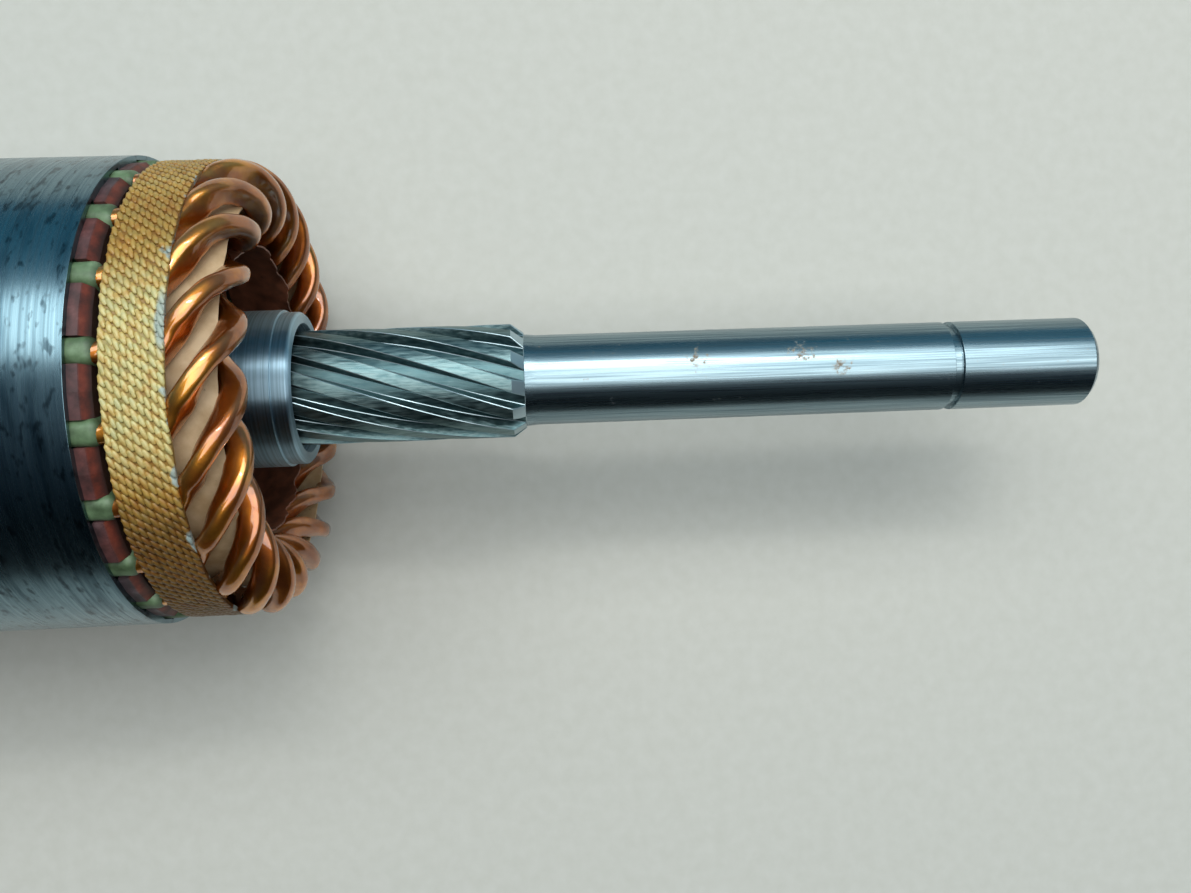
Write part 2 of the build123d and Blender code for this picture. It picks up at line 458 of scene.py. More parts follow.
def mixed(tree, share, first, second, blend="MIX"):
    sockets = {"Factor": share, 6: first, 7: second}
    return add(tree, "ShaderNodeMix", sockets, data_type="RGBA", blend_type=blend).outputs[2]


def axes(tree, place_on):
    # The three coordinates of a place, by name
    return add(tree, "ShaderNodeSeparateXYZ", {"Vector": place_on}).outputs


def from_axis(tree, place_on):
    # The distance from the shaft axis
    return move(tree, "LENGTH", move(tree, "MULTIPLY", place_on, (0.0, 1.0, 1.0)))


def from_level(tree, place_on, x):
    # The distance along the shaft from x, either way
    away = reckon(tree, "SUBTRACT", axes(tree, place_on)["X"], x * mm)
    return reckon(tree, "ABSOLUTE", away)


def finish(name, **uniform):
    # A new material with its shader's plain values set
    material = bpy.data.materials.new(name)
    material.use_nodes = True
    tree = material.node_tree
    shader = tree.nodes["Principled BSDF"]
    for socket, value in uniform.items():
        shader.inputs[socket.replace("_", " ")].default_value = value
    place_on = tree.nodes.new("ShaderNodeTexCoord").outputs["Object"]
    return material, tree, shader, place_on


def feed(shader, socket, value):
    # Links a value to one of a shader's sockets
    shader.id_data.links.new(value, shader.inputs[socket])


def vary_roughness(shader, pattern, at_low, at_high):
    # Lets the roughness follow a pattern
    feed(shader, "Roughness", remap(shader.id_data, pattern, 0.3, 0.7, at_low, at_high))


def bumps(shader, height, strength, depth):
    # Small bumps in a surface that follow a pattern, with their depth in mm
    sockets = {"Height": height, "Strength": strength, "Distance": depth * mm}
    feed(shader, "Normal", add(shader.id_data, "ShaderNodeBump", sockets).outputs[0])


def lamination_steel():
    # Turned lamination steel, blue-grey, with fine tool lines round it that blur its shine
    material, tree, shader, place_on = finish("turned_lamination_steel", Metallic=1.0)
    lines = grain(tree, place_on, 0.45, 300, 3.0)
    stains = grain(tree, place_on, 2.2, 16, 5.0)
    specks = grain(tree, place_on, 1.1, 2.4, 2.0)
    shade = ramp(tree, lines, (0.3, "#647c86"), (0.5, "#738d97"), (0.7, "#839ca5"))
    dull = ramp(tree, stains, (0.5, "#ffffff"), (0.7, "#97a8b1"))
    pitted = ramp(tree, specks, (0.56, "#ffffff"), (0.68, "#55646d"))
    worn = mixed(tree, 0.8, shade, dull, "MULTIPLY")
    feed(shader, "Base Color", mixed(tree, 0.7, worn, pitted, "MULTIPLY"))
    vary_roughness(shader, lines, 0.3, 0.22)
    bumps(shader, lines, 0.15, 0.03)
    return material


def ground_steel(name, light, dark, around):
    # Ground steel with a soft shine: fine grinding lines lengthwise or around
    material, tree, shader, place_on = finish(name, Metallic=1.0)
    along, across = (0.3, 30) if around else (26, 0.3)
    roughest, smoothest = (0.5, 0.38) if around else (0.36, 0.22)
    lines = grain(tree, place_on, along, across, 4.0)
    feed(shader, "Base Color", ramp(tree, lines, (0.32, dark), (0.62, light)))
    vary_roughness(shader, lines, roughest, smoothest)
    bumps(shader, lines, 0.25, 0.02)
    return material


def rusted_steel():
    # Shaft steel as ground, with rust freckles that gather at three places on its top
    material = ground_steel("ground_shaft_steel", "#8fa3ab", "#697d86", False)
    tree = material.node_tree
    shader = tree.nodes["Principled BSDF"]
    place_on = tree.nodes["Texture Coordinate"].outputs["Object"]
    freckles = noise(tree, place_on, 1.1, 5.0, 0.65)
    patches = grain(tree, place_on, 16, 5, 3.0)
    near = []
    for spot in rust_spots:
        away = move(tree, "DISTANCE", place_on, spot * mm)
        near.append(remap(tree, away, 0.0, rust_reach * mm, 0.3, 0.0))
    reach = near[0]
    for other in near[1:]:
        reach = reckon(tree, "MAXIMUM", reach, other)
    grown = reckon(tree, "ADD", freckles, reach)
    grown = reckon(tree, "MULTIPLY_ADD", patches, 0.28, grown)
    mask = remap(tree, grown, 0.80, 0.96, 0.0, 0.75)
    metal = shader.inputs["Base Color"].links[0].from_socket
    rust = ramp(tree, freckles, (0.4, "#6f5233"), (0.7, "#94764c"))
    feed(shader, "Base Color", mixed(tree, mask, metal, rust))
    feed(shader, "Metallic", reckon(tree, "SUBTRACT", 1.0, mask))
    ground = shader.inputs["Roughness"].links[0].from_socket
    feed(shader, "Roughness", reckon(tree, "MAXIMUM", ground, mask))
    return material


def oily_spline_steel():
    # Hobbed spline steel: painted shade makes the grooves darker than the crests, and old oil
    # near the sleeve darkens it too
    material, tree, shader, place_on = finish("oiled_spline_steel", Metallic=1.0)
    height = from_axis(tree, place_on)
    # Painted shade: the deeper the surface lies between the teeth, the darker its colour
    painted_shade_by_height = remap(tree, height, spline_root * mm, spline_crest * mm, 0.0, 0.25)
    smears = grain(tree, place_on, 2.6, 0.5, 5.0)
    level = reckon(tree, "ADD", smears, painted_shade_by_height)
    shade = ramp(tree, level, (0.3, "#40595d"), (0.62, "#5a7376"), (0.9, "#82999a"))
    along = axes(tree, place_on)["X"]
    oil = remap(tree, along, oil_start * mm, oil_end * mm, 0.75, 0.0)
    feed(shader, "Base Color", mixed(tree, oil, shade, colour("#2c3434")))
    vary_roughness(shader, smears, 0.3, 0.5)
    bumps(shader, smears, 0.8, 0.06)
    return material


def edge_highlight_steel():
    # Painted highlight: lighter steel on the small bevels along the edges of the teeth and on the
    # chamfers at their ends
    shade = colour("#aabdc3")
    return finish("edge_highlight_steel", Metallic=0.8, Roughness=0.35, Base_Color=shade)[0]


def enamelled_copper():
    # Copper wire under clear amber enamel, brown, with faint patches, below a hard glossy skin.
    # A painted highlight makes it gold where the wire bulges out furthest, brown further in.
    material, tree, shader, place_on = finish(
        "enamelled_copper_wire",
        Metallic=0.95,
        Coat_Weight=1.0,
        Coat_Roughness=0.06,
        Coat_IOR=1.8,
        Coat_Tint=colour("#ffe3ba"),
    )
    patches = noise(tree, place_on, 5.5, 3.0, 0.55)
    height = from_axis(tree, place_on)
    # Painted highlight: gold where the wire lies furthest out, brown further in
    painted_outer_highlight = remap(tree, height, (outer_layer + 0.6) * mm, (outer_layer + 2.2) * mm, 0.0, 0.18)
    level = reckon(tree, "ADD", patches, painted_outer_highlight)
    shade = ramp(tree, level, (0.34, "#945930"), (0.54, "#b37333"), (0.78, "#dfa646"))
    feed(shader, "Base Color", shade)
    vary_roughness(shader, patches, 0.46, 0.3)
    orange_peel = noise(tree, place_on, 0.5, 3.0)
    bumps(shader, orange_peel, 0.35, 0.05)
    return material


def varnished_braid():
    # Glass sleeving braid soaked in varnish: straw-gold threads, with painted shade in their
    # gaps, and amber away from the top, partly from varnish and partly painted shade
    material, tree, shader, place_on = finish(
        "varnished_glass_braid", Roughness=0.5, Coat_Weight=0.25, Coat_Roughness=0.3
    )
    place_parts = axes(tree, place_on)
    # Painted shade: lighter on the crests of the stitches and darker in the gaps between them,
    # with a fine thread grain
    backing = (braid_radius - backing_top) * mm
    crest = (braid_radius - stitch_crest) * mm
    painted_shade_by_height = remap(tree, from_axis(tree, place_on), backing, crest, 0.0, 1.0)
    thread = noise(tree, place_on, 0.6)
    level = reckon(tree, "MULTIPLY_ADD", thread, 0.35, painted_shade_by_height)
    gold = ramp(tree, level, (0.1, "#977d42"), (0.5, "#b5a15b"), (1.0, "#d3c68b"))
    # Darker and more amber away from the top of the band, and most on its -Y side: partly varnish
    # that has pooled there, partly painted shade
    shoulder = remap(tree, place_parts["Z"], 38.5 * mm, 33.5 * mm, 0.0, 0.4)
    below = remap(tree, place_parts["Y"], -10 * mm, -26 * mm, 0.0, 0.4)
    pooled_and_shaded = reckon(tree, "ADD", shoulder, below)
    soak = noise(tree, place_on, 9, 3.0)
    pooled_and_shaded = reckon(tree, "MULTIPLY_ADD", soak, 0.5, pooled_and_shaded)
    amber = ramp(tree, pooled_and_shaded, (0.28, "#ffffff"), (0.6, "#d8b884"), (1.0, "#8f6d3a"))
    stained_and_shaded = mixed(tree, 1.0, gold, amber, "MULTIPLY")
    # Single threads differ a little in hue
    specks = noise(tree, place_on, 1.5)
    hue = ramp(tree, specks, (0.34, "#efd0a0"), (0.5, "#fffdf5"), (0.64, "#e2ebee"))
    stained_and_shaded = mixed(tree, 0.8, stained_and_shaded, hue, "MULTIPLY")
    # Pale paint, in specks along the drive edge and in one larger smear
    smudge = noise(tree, place_on, 4.0, 3.0)
    edge = remap(tree, place_parts["X"], smudge_from * mm, smudge_to * mm, 0.0, 0.24)
    mask = remap(tree, reckon(tree, "ADD", smudge, edge), 0.74, 0.80, 0.0, 0.8)
    away = move(tree, "SUBTRACT", place_on, smear_at * mm)
    away = move(tree, "MULTIPLY", away, (1 / smear_width, 1 / smear_length, 0.0))
    away = move(tree, "LENGTH", away)
    ragged = reckon(tree, "MULTIPLY_ADD", smudge, 0.8 * mm, away)
    smear = remap(tree, ragged, 1.1 * mm, 1.5 * mm, 0.75, 0.0)
    paint = reckon(tree, "MAXIMUM", mask, smear)
    feed(shader, "Base Color", mixed(tree, paint, stained_and_shaded, colour("#93a8a8")))
    return material


def paper(name, light, dark, roughness):
    # Pressed insulating paper: matt, faintly mottled, with small dark flecks
    material, tree, shader, place_on = finish(name, Roughness=roughness)
    mottle = noise(tree, place_on, 5, 5.0, 0.6)
    shade = ramp(tree, mottle, (0.35, dark), (0.6, light))
    flecks = remap(tree, noise(tree, place_on, 0.9), 0.72, 0.78, 0.0, 0.7)
    feed(shader, "Base Color", mixed(tree, flecks, shade, colour("#3d2415")))
    bumps(shader, mottle, 0.3, 0.2)
    return material


def red_fibre():
    # Vulcanised fibre: brick red where it is bevelled, its punched rim scuffed purple-grey,
    # and painted shade, near black, in the corner beside the winding where the braid shadows it
    material, tree, shader, place_on = finish("red_vulcanised_fibre", Roughness=0.55)
    grime = noise(tree, place_on, 2.2, 5.0, 0.6)
    red = ramp(tree, grime, (0.3, "#3c1c16"), (0.6, "#702f20"), (0.8, "#8a4532"))
    scuff = ramp(tree, grime, (0.3, "#2f2426"), (0.6, "#4d3d41"), (0.8, "#6e5c60"))
    away = from_level(tree, place_on, core_middle)
    rim_end = core_half + fibre_rim
    rim = remap(tree, away, (rim_end - 0.15) * mm, (rim_end + 0.1) * mm, 1.0, 0.0)
    worn = remap(tree, noise(tree, place_on, 14), 0.4, 0.6, 0.5, 1.0)
    worn = reckon(tree, "MULTIPLY", worn, rim)
    # Painted shade: near black where the fibre meets the braid's shadow
    painted_band_shade = remap(tree, away, (core_half + 2.0) * mm, (core_half + 2.7) * mm, 0.0, 0.85)
    clean = mixed(tree, worn, red, scuff)
    feed(shader, "Base Color", mixed(tree, painted_band_shade, clean, colour("#1f1512")))
    bumps(shader, grime, 0.25, 0.1)
    return material


def liner_paper():
    # Sage green slot paper, soft and slightly fuzzy, darker towards the tips of its ends
    material, tree, shader, place_on = finish("green_slot_paper", Roughness=0.5)
    varnish = noise(tree, place_on, 3.0, 4.0)
    shade = ramp(tree, varnish, (0.3, "#35452c"), (0.55, "#637b59"), (0.75, "#849c7b"))
    away = from_level(tree, place_on, core_middle)
    tip = core_half + liner_end
    # Darker towards the tips of its ends
    toward_tip = remap(tree, away, (core_half + 2.4) * mm, tip * mm, 0.0, 0.7)
    feed(shader, "Base Color", mixed(tree, toward_tip, shade, colour("#2f3b27")))
    bumps(shader, varnish, 0.4, 0.15)
    return material


def bar_copper():
    # Turned bar copper: pink-brown, with a darker chocolate band where the brushes run
    material, tree, shader, place_on = finish("turned_bar_copper", Metallic=1.0)
    lines = grain(tree, place_on, 0.3, 30, 3.0)
    away = from_level(tree, place_on, track_end + brush_middle)
    worn = remap(tree, away, brush_half * mm, (brush_half + 1) * mm, 1.0, 0.0)
    fresh = ramp(tree, lines, (0.3, "#a9663f"), (0.7, "#cf9468"))
    film = ramp(tree, lines, (0.3, "#5a3424"), (0.7, "#8a5a40"))
    feed(shader, "Base Color", mixed(tree, worn, fresh, film))
    vary_roughness(shader, lines, 0.42, 0.28)
    bumps(shader, lines, 0.3, 0.02)
    return material


def moulded(name, light, dark, roughness, size):
    # Moulding compound or mica: dull, with a fine speckle
    material, tree, shader, place_on = finish(name, Roughness=roughness)
    speckle = noise(tree, place_on, size, 4.0)
    feed(shader, "Base Color", ramp(tree, speckle, (0.35, dark), (0.65, light)))
    bumps(shader, speckle, 0.2, 0.05)
    return material


def pale_floor():
    # Plain pale floor, faintly mottled
    material, tree, shader, place_on = finish("pale_floor", Roughness=0.9)
    mottle = noise(tree, place_on, 3, 4.0)
    feed(shader, "Base Color", ramp(tree, mottle, (0.3, "#c5c3ba"), (0.7, "#cac8c0")))
    return material


def make_core():
    # Core with a rounded rim and 21 closed slots
    outline = [
        (core_back, core_bore),
        (core_back, core_radius),
        (core_face, core_radius),
        (core_face, core_bore),
    ]
    core = turned(outline, sides=8 * slot_count)
    slots = box(
        Vector((core_back - 1, slot_bottom, -slot_width / 2)),
        Vector((core_face + 1, slot_top, slot_width / 2)),
    )
    repeat_around(slots, slot_count, slot_phase)
    cut(core, slots)
    soften(core, 0.1, 50)
    place(core, "core_body", lamination_steel(), "lamination_steel", "core_stack")


def flare(liner):
    # Opens the ends of a liner a little, like a trumpet, outside the core
    edit(liner, "SELECT")
    for x in (core_back - flare_start, core_face + flare_start):
        bpy.ops.mesh.bisect(plane_co=(x * mm, 0, 0), plane_no=(1, 0, 0))
        bpy.ops.mesh.select_all(action="SELECT")
    bpy.ops.object.mode_set(mode="OBJECT")
    for corner in liner.data.vertices:
        x = corner.co.x / mm
        out = max(core_back - flare_start - x, x - core_face - flare_start, 0)
        corner.co.z *= 1 + flare_rate * out


def make_liners():
    # Slot liners: thin paper tubes with rounded corners that stick out at both ends
    low = slot_bottom + liner_play_deep
    high = slot_top - liner_play_deep
    half = slot_width / 2 - liner_play_side
    liner = box(
        Vector((core_back - liner_end, low, -half)), Vector((core_face + liner_end, high, half))
    )
    round_edges(liner, 0, liner_corner, 5)
    bpy.ops.mesh.select_mode(type="FACE")
    bpy.ops.mesh.select_all(action="DESELECT")
    bpy.ops.object.mode_set(mode="OBJECT")
    for face in liner.data.polygons:
        face.select = abs(face.normal.x) > 0.9
    bpy.ops.object.mode_set(mode="EDIT")
    bpy.ops.mesh.delete(type="FACE")
    bpy.ops.object.mode_set(mode="OBJECT")
    modify(liner, "SOLIDIFY", thickness=liner_wall * mm, offset=-1.0)
    # The ends are trimmed to rounded lips by what lies inside a larger rounded block
    lips = box(
        Vector((core_back - liner_end - 0.1, slot_bottom - 1, -slot_width / 2 - 0.2)),
        Vector((core_face + liner_end + 0.1, slot_top + 1, slot_width / 2 + 0.2)),
    )
    round_edges(lips, 1, liner_lip, 4)
    bpy.ops.object.mode_set(mode="OBJECT")
    cut(liner, lips, "INTERSECT")
    flare(liner)
    repeat_around(liner, slot_count, slot_phase)
    smooth(liner, 40)
    place(liner, "slot_papers", liner_paper(), "slot_liner", "slot_liners")


def around(x, radius, turn):
    return Vector((x, radius * cos(radians(turn)), radius * sin(radians(turn))))


def coil_route(hand):
    # Points along one coil from bar to bar, with this coil's hand-bent differences
    reach, drop, lean = hand
    half = coil_span / 2 * slot_turn
    over = -coil_span * slot_turn
    tail = tail_start - riser_corner
    points = [around(wire_end, riser_outer, half), around(riser_corner, riser_outer, half)]
    for share in (2 / 3, 1 / 3):
        radius = outer_layer + share * (riser_outer - outer_layer)
        points.append(around(tail_start - share * tail, radius, share * half))
    points += [around(x, outer_layer, 0) for x in (tail_start, core_back, core_face)]
    nose_bend = (head_drop + head_bulge + nose_swell) / 2
    nose_x = head_reach - wire_depth / 2 - nose_bend
    nose_middle = outer_layer + head_bulge - nose_bend
    # Each point of the head: its place along X, its radius, and the pitches it has leaned
    head = [
        (head_start, outer_layer, 0),
        (8.9, outer_layer, 0.63),
        (12.9, outer_layer, 1.16),
        (14.8, outer_layer + head_bulge - 0.1, 1.42),
    ]
    for step in range(2, -3, -1):
        bend = radians(step * 30)
        x = nose_x + nose_bend * cos(bend)
        radius = nose_middle + nose_bend * sin(bend)
        head.append((x, radius, nose_pitch - step * nose_twist))
    head += [
        (13.6, outer_layer - head_drop - 0.5, 3.42),
        (8.9, inner_layer - 1.2, 4.12),
        (head_start, inner_layer, coil_span),
    ]
    for x, radius, pitches in head:
        share = (x - head_start) / (head_reach - head_start)
        bend = sin(pi * pitches / coil_span)
        turn = -(pitches + bend * lean) * slot_turn
        points.append(around(x + share * reach, radius + share * bend * drop, turn))
    points += [around(x, inner_layer, over) for x in (core_face, core_back, tail_start)]
    for share in (1 / 3, 2 / 3):
        radius = inner_layer + share * (riser_inner - inner_layer) - tail_dip
        points.append(around(tail_start - share * tail, radius, over - share * half))
    points += [around(x, riser_inner, over - half) for x in (riser_corner, wire_end)]
    return points


def smooth_line(points):
    # The same route as a smooth line with many points
    wire = bpy.data.curves.new("route", "CURVE")
    wire.dimensions = "3D"
    wire.resolution_u = 6
    line = wire.splines.new("BEZIER")
    line.bezier_points.add(len(points) - 1)
    for knot, point in zip(line.bezier_points, points):
        knot.co = point * mm
        knot.handle_left_type = "AUTO"
        knot.handle_right_type = "AUTO"
    piece = link("route", wire)
    mesh = bpy.data.meshes.new_from_object(piece)
    route = [vertex.co.copy() for vertex in mesh.vertices]
    bpy.data.objects.remove(piece)
    bpy.data.meshes.remove(mesh)
    return route


def wire_section():
    # Cross-section of the flat wire: flat sides and rounded narrow edges
    corners = []
    for across, deep, start in ((1, 1, 0), (-1, 1, 90), (-1, -1, 180), (1, -1, 270)):
        for step in range(4):
            turn = radians(start + step * 30)
            side = across * (wire_width / 2 - wire_edge) + wire_edge * cos(turn)
            height = deep * (wire_depth / 2 - wire_edge) + wire_edge * sin(turn)
            corners.append((side, height))
    return corners


def bent_wire(name, route):
    # Flat wire bent on edge along a route: its flat sides keep facing round the shaft
    section = wire_section()
    count = len(section)
    places, faces = [], []
    for number, point in enumerate(route):
        before = route[max(number - 1, 0)]
        after = route[min(number + 1, len(route) - 1)]
        along = (after - before).normalized()
        side = Vector((0, -point.z, point.y)).normalized()
        side = (side - side.dot(along) * along).normalized()
        height = along.cross(side)
        for across, deep in section:
            places.append(point + (side * across + height * deep) * mm)
    for ring in range(len(route) - 1):
        for corner in range(count):
            near = ring * count + corner
            far = ring * count + (corner + 1) % count
            faces.append((near, far, far + count, near + count))
    faces.append(tuple(range(count)))
    faces.append(tuple(range(len(places) - count, len(places))))
    mesh = bpy.data.meshes.new(name)
    mesh.from_pydata(places, [], faces)
    wire = link(name, mesh)
    close_up(wire, 1e-7)
    return wire


def make_coils():
    # Hairpin coils of flat wire, each bent a little differently. Their heads stand
    # out a little less on the side that faces the floor.
    copper = enamelled_copper()
    hands = random.Random(hand_seed)
    for number in range(slot_count):
        turn = slot_phase + number * slot_turn
        reach = floor_side * sin(radians(turn - nose_pitch * slot_turn))
        reach += hands.uniform(-hand_reach, hand_reach)
        drop = hands.uniform(-hand_drop, hand_drop)
        lean = hands.uniform(-hand_lean, hand_lean)
        route = smooth_line(coil_route((reach, drop, lean)))
        coil = bent_wire(f"coil_wire_{number + 1:02d}", route)
        spin(coil, turn)
        smooth(coil, 60)
        place(coil, coil.name, copper, "coil_copper", f"coil_{number + 1:02d}")


def make_shaft():
    # Shaft body as turned, without its teeth
    inside = spline_root - 0.3
    under_chamfer = spline_root - 0.1
    outline = [
        (tail_end, beside_axis),
        (tail_end, tail_radius - 1),
        (tail_end + 1, tail_radius),
        (hub_face - 3, tail_radius),
        (hub_face - 3, hub_seat),
        (riser_face, hub_seat),
        (riser_face, core_seat),
        (spline_start + 1, core_seat),
        (spline_start + 1, inside),
        (spline_end - 0.5, inside),
        (spline_end - 0.5, under_chamfer),
        (spline_end, under_chamfer),
        (neck_end, nose_radius),
        (groove_start, nose_radius),
        (groove_start, groove_radius),
        (groove_end, groove_radius),
        (groove_end, nose_radius),
        (nose_end - 1, nose_radius),
        (nose_end, nose_radius - 1),
        (nose_end, beside_axis),
    ]
    body = turned(outline, ring=False)
    soften(body, 0.15)
    place(body, "shaft_body", rusted_steel(), "shaft_steel", "shaft")


def tooth_outline(x):
    # A circle at the roots of the teeth whose points are drawn out where a tooth stands
    outline = circle(x, spline_root, spline_teeth * tooth_points)
    edit(outline, "DESELECT")
    bpy.ops.object.mode_set(mode="OBJECT")
    tooth_turn = 360 / spline_teeth
    for corner in outline.data.vertices:
        turn = degrees(atan2(corner.co.z, corner.co.y))
        from_crest = (turn + tooth_turn / 2) % tooth_turn - tooth_turn / 2
        corner.select = abs(from_crest) < crest_half_turn
    bpy.ops.object.mode_set(mode="EDIT")
    resize((spline_crest + spline_spare) / spline_root, x)
    bpy.ops.object.mode_set(mode="OBJECT")
    return outline


def make_spline():
    # Helical teeth: a toothed outline screwed along the shaft, then chamfered
    start = spline_start - 1
    length = spline_end - spline_start + 2
    teeth = tooth_outline(start)
    modify(
        teeth,
        "SCREW",
        axis="X",
        angle=2 * pi * length / spline_lead,
        screw_offset=length * mm,
        steps=screw_steps,
        render_steps=screw_steps,
        use_merge_vertices=False,
    )
    edit(teeth, "SELECT")
    bpy.ops.mesh.fill_holes(sides=0)
    bpy.ops.object.mode_set(mode="OBJECT")
    close_up(teeth)
    spin(teeth, spline_turn + 360 * (start - spline_turn_at) / spline_lead)
    outline = [
        (spline_start, beside_axis),
        (spline_start, spline_crest),
        (spline_end - spline_chamfer, spline_crest),
        (spline_end, spline_root + 0.2),
        (spline_end, beside_axis),
    ]
    cut(teeth, turned(outline, sides=180, ring=False), "INTERSECT")
    # The bevels and the chamfers on the ends of the teeth get the second material, a painted
    # highlight
    teeth.data.materials.append(None)
    teeth.data.materials.append(None)
    modify(
        teeth,
        "BEVEL",
        width=0.09 * mm,
        segments=1,
        limit_method="ANGLE",
        angle_limit=radians(40),
        use_clamp_overlap=False,
        material=1,
    )
    for face in teeth.data.polygons:
        if 0.5 < face.normal.x < 0.8:
            face.material_index = 1
    smooth(teeth, weighted=True)
    place(teeth, "spline_teeth", oily_spline_steel(), "shaft_steel", "shaft")
    # The second material paints a highlight on the bevels and chamfers
    teeth.data.materials[1] = edge_highlight_steel()


def make_sleeve():
    # Bearing sleeve with its lower land and wide mouth
    land_radius = sleeve_radius - land_drop
    outline = [
        (core_face, sleeve_bore),
        (core_face, sleeve_radius),
        (sleeve_end - land_width, sleeve_radius),
        (sleeve_end - land_width, land_radius),
        (sleeve_end - mouth_chamfer, land_radius),
        (sleeve_end, land_radius - mouth_chamfer),
        (sleeve_end, mouth_radius),
        (sleeve_end - mouth_depth, mouth_radius),
        (sleeve_end - mouth_depth, sleeve_bore),
    ]
    sleeve = turned(outline)
    soften(sleeve, 0.12)
    steel = ground_steel("ground_bearing_steel", "#a3bfcf", "#8099a6", True)
    shader = steel.node_tree.nodes["Principled BSDF"]
    # Lines round the sleeve stretch its shine along the shaft
    tangent = add(steel.node_tree, "ShaderNodeTangent", {}, axis="X")
    feed(shader, "Tangent", tangent.outputs[0])
    shader.inputs["Anisotropic"].default_value = 0.95
    shader.inputs["Anisotropic Rotation"].default_value = 0.25
    place(sleeve, "sleeve_body", steel, "sleeve_steel", "bearing_sleeve")


def make_braid(name, start, direction, material, node):
    # Braided sleeving pulled tight round the coils: columns of leaning stitches
    end = start + direction * braid_columns * braid_column
    top = braid_radius - backing_top
    base = braid_radius - backing_base
    outline = [(start, base), (start, top), (end, top), (end, base)]
    pieces = [turned(outline, sides=5 * slot_count)]
    for column in range(braid_columns):
        deselect()
        bpy.ops.mesh.primitive_uv_sphere_add(
            segments=6, ring_count=4, radius=mm, rotation=(0, pi / 2, 0)
        )
        stitch = bpy.context.object
        settle(stitch)
        settle(stitch, scale=stitch_size)
        settle(stitch, rotation_euler=(0, 0, radians(braid_lean)))
        settle(stitch, rotation_euler=(pi / 2, 0, 0))
        x = start + direction * (column + 0.5) * braid_column
        settle(stitch, location=(x * mm, (braid_radius - stitch_middle) * mm, 0))
        repeat_around(stitch, braid_count, column * 180 / braid_count)
        pieces.append(stitch)
    band = join(pieces)
    ruffle(band, 0.4, 5.0, "X")
    ruffle(band, 0.35, 1.6)
    smooth(band, 80)
    place(band, name, material, "glass_band", node)


def make_sheet(name, outline, material, slot, node, torn, waves):
    # Thin paper rolled round the axis, with an uneven edge at its open end
    sheet = turned(outline, sides=8 * slot_count, closed=False)
    edit(sheet, "SELECT")
    bpy.ops.mesh.subdivide(number_cuts=2)
    bpy.ops.object.mode_set(mode="OBJECT")
    edge = sheet.vertex_groups.new(name="edge")
    open_end = outline[-1][0]
    for corner in sheet.data.vertices:
        away = abs(corner.co.x / mm - open_end)
        if away < torn_reach:
            edge.add([corner.index], 1 - away / torn_reach, "REPLACE")
    ruffle(sheet, torn, 4.0, "X", "edge")
    ruffle(sheet, waves, 6.0, "NORMAL", "edge")
    modify(sheet, "SOLIDIFY", thickness=paper_wall * mm, offset=-1.0)
    smooth(sheet, 60)
    place(sheet, name, material, slot, node)


def mirrored_outline(outline):
    # The same outline at the commutator end of the core
    return [(core_back - x, radius) for x, radius in outline]


def make_papers():
    # Tan paper between the coil layers and brown paper inside them, at both ends
    tan = paper("tan_pressboard", "#cbb08b", "#b0926b", 0.6)
    brown = paper("varnished_brown_paper", "#7d4a34", "#4c2a1c", 0.45)
    outer = [(3.7, 34.45), (9, 34.4), (13, 34.2), (16, 33.7), (paper_edge, 33.2)]
    inner = [(3.7, 29.3), (8, 28.0), (12, 26.2), (16, 25.0)]
    make_sheet("layer_paper", outer, tan, "tan_paper", "layer_paper_drive", 0.4, 0.5)
    make_sheet("inner_paper", inner, brown, "brown_paper", "inner_paper_drive", 2.4, 1.2)
    outer = mirrored_outline([(3.7, 34.2), (9, 33.3), (17, 31.9)])
    inner = mirrored_outline([(3.7, 29.0), (9, 27.8), (15, 26.7)])
    make_sheet("tail_layer_paper", outer, tan, "tan_paper", "layer_paper_comm", 0.4, 0.3)
    make_sheet("tail_inner_paper", inner, brown, "brown_paper", "inner_paper_comm", 1.0, 0.3)


def cut_around_bars(bars, start, floor, half, turn):
    # Cuts a slit or a notch from the risers' face down to a radius, at each slot
    tool = box(Vector((start, floor, -half)), Vector((riser_face + 1, past_risers, half)))
    repeat_around(tool, slot_count, turn)
    cut(bars, tool)


def make_bars():
    # Commutator bars with their riser notches, cut from one turned ring
    track_start = riser_face - riser_width
    outline = [
        (riser_face, bar_bore),
        (riser_face, riser_radius),
        (track_start, riser_radius),
        (track_start, track_radius),
        (track_end, track_radius),
        (track_end, bar_bore),
    ]
    bars = turned(outline)
    cut_around_bars(bars, track_end - 1, bar_bore - 1, slit_half, slot_phase)
    notch_phase = slot_phase + slot_turn / 2
    cut_around_bars(bars, track_start - 1, notch_floor, notch_half, notch_phase)
    soften(bars, 0.2, 50)
    place(bars, "bar_ring", bar_copper(), "bar_copper", "commutator_bars")


def keep(node, material):
    # Gives a solid that stays as it is its finish
    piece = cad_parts[node]
    piece.data.materials.clear()
    piece.data.materials.append(material)


make_core()
make_liners()
make_coils()
make_shaft()
make_spline()
make_sleeve()
braid = varnished_braid()
make_braid("braid_drive", braid_start, 1, braid, "band_drive")
make_braid("braid_comm", core_back - braid_start, -1, braid, "band_comm")
make_papers()
make_bars()
fibre = red_fibre()
keep("end_fibre_drive", fibre)
keep("end_fibre_comm", fibre)
keep("commutator_mica", moulded("mica_plate", "#b3ab92", "#85795f", 0.4, 0.8))
keep("commutator_hub", moulded("phenolic_moulding", "#3a2a22", "#1f1511", 0.35, 1.5))

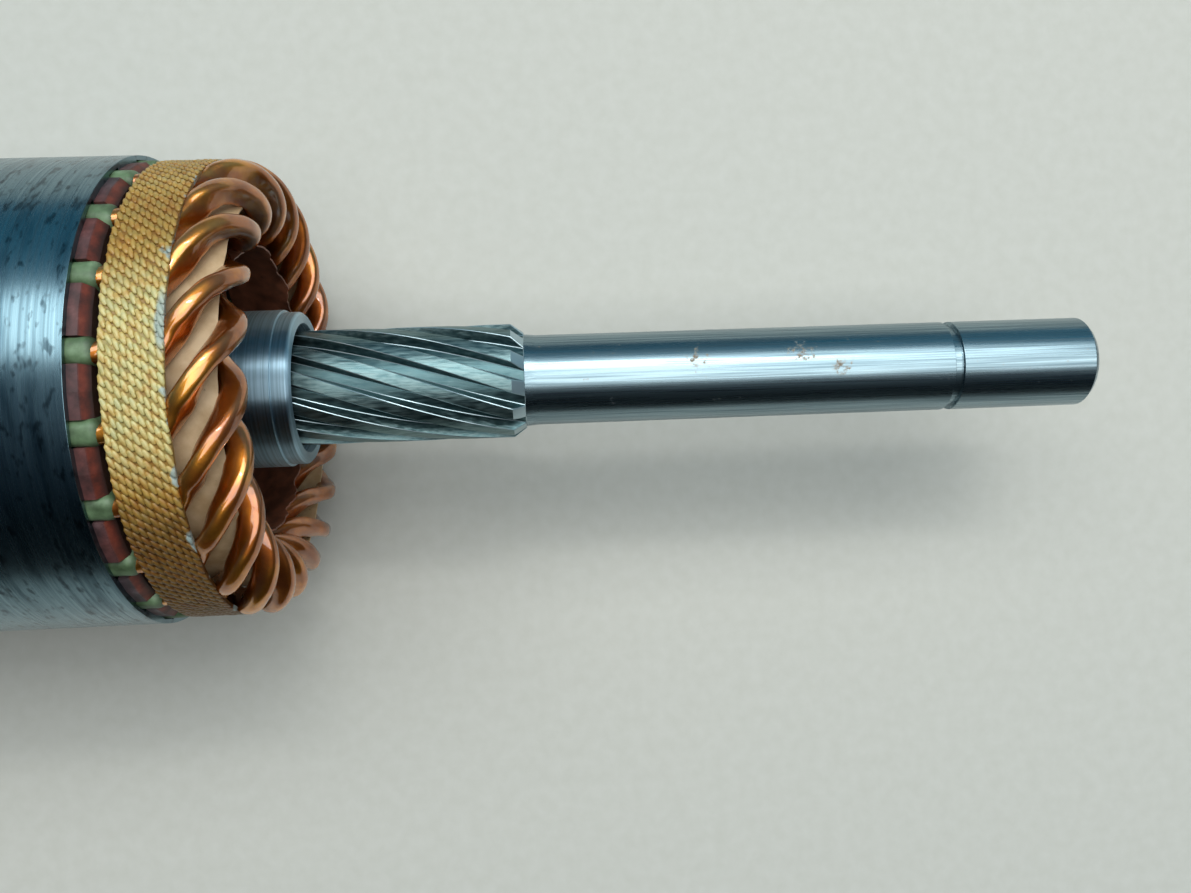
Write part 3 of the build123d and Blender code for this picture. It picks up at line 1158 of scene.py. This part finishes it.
# Camera at the photo's angle, on the drive end from above
camera_at = Vector((64.263, -12.343, 173.204))
camera_lens = 29.107
camera_roll = Matrix.Rotation(radians(2.2169), 4, "Z")
camera_tilt = Matrix.Rotation(radians(3.0970), 4, "Y")
view = bpy.data.cameras.new("camera")
view.lens = camera_lens
view.sensor_width = 36
camera = link("camera", view)
tilt = camera_roll @ camera_tilt
camera.matrix_world = Matrix.Translation(camera_at * mm) @ tilt.inverted()
bpy.context.scene.camera = camera

# Floor under the part
floor_size = 1.2
deselect()
bpy.ops.mesh.primitive_plane_add(size=floor_size, location=(0, 0, -core_radius * mm))
ground = bpy.context.object
ground.name = "ground"
ground.data.materials.append(pale_floor())

# Light as from wide windows above, in metres and watts
window_white = "#fdfffd"


def lamp(name, start, aim, size, power):
    light = bpy.data.lights.new(name, "AREA")
    light.shape = "RECTANGLE"
    light.size, light.size_y = size
    light.energy = power
    light.color = colour(window_white)[:3]
    holder = link(name, light)
    holder.location = start
    holder.rotation_euler = (Vector(aim) - Vector(start)).to_track_quat("-Z", "Y").to_euler()


lamp("window", (0.03, 0.47, 0.88), (0.03, 0, 0), (1.5, 0.52), 7.8)
lamp("window_glare", (0.16, 0.5, 0.82), (0.03, 0, 0), (0.36, 0.05), 1.4)
lamp("window_side", (0.35, -0.05, 0.9), (0.35, -0.02, 0), (1.1, 0.5), 4.9)

# Blue-green surroundings, lighter on the lamps' side
world = bpy.data.worlds.new("studio")
bpy.context.scene.world = world
world.use_nodes = True
surroundings = world.node_tree
direction = surroundings.nodes.new("ShaderNodeTexCoord").outputs["Generated"]
side = remap(surroundings, axes(surroundings, direction)["Y"], -1.0, 1.0, 0.0, 1.0)
shades = ramp(
    surroundings,
    side,
    (0.1, "#091217"),
    (0.3, "#0d2838"),
    (0.5, "#184459"),
    (0.8, "#4389a2"),
    (0.95, "#408199"),
    (1.0, "#265b70"),
)
backdrop = surroundings.nodes["Background"]
feed(backdrop, "Color", shades)
backdrop.inputs["Strength"].default_value = 0.9
bpy.context.scene.view_settings.view_transform = "Standard"
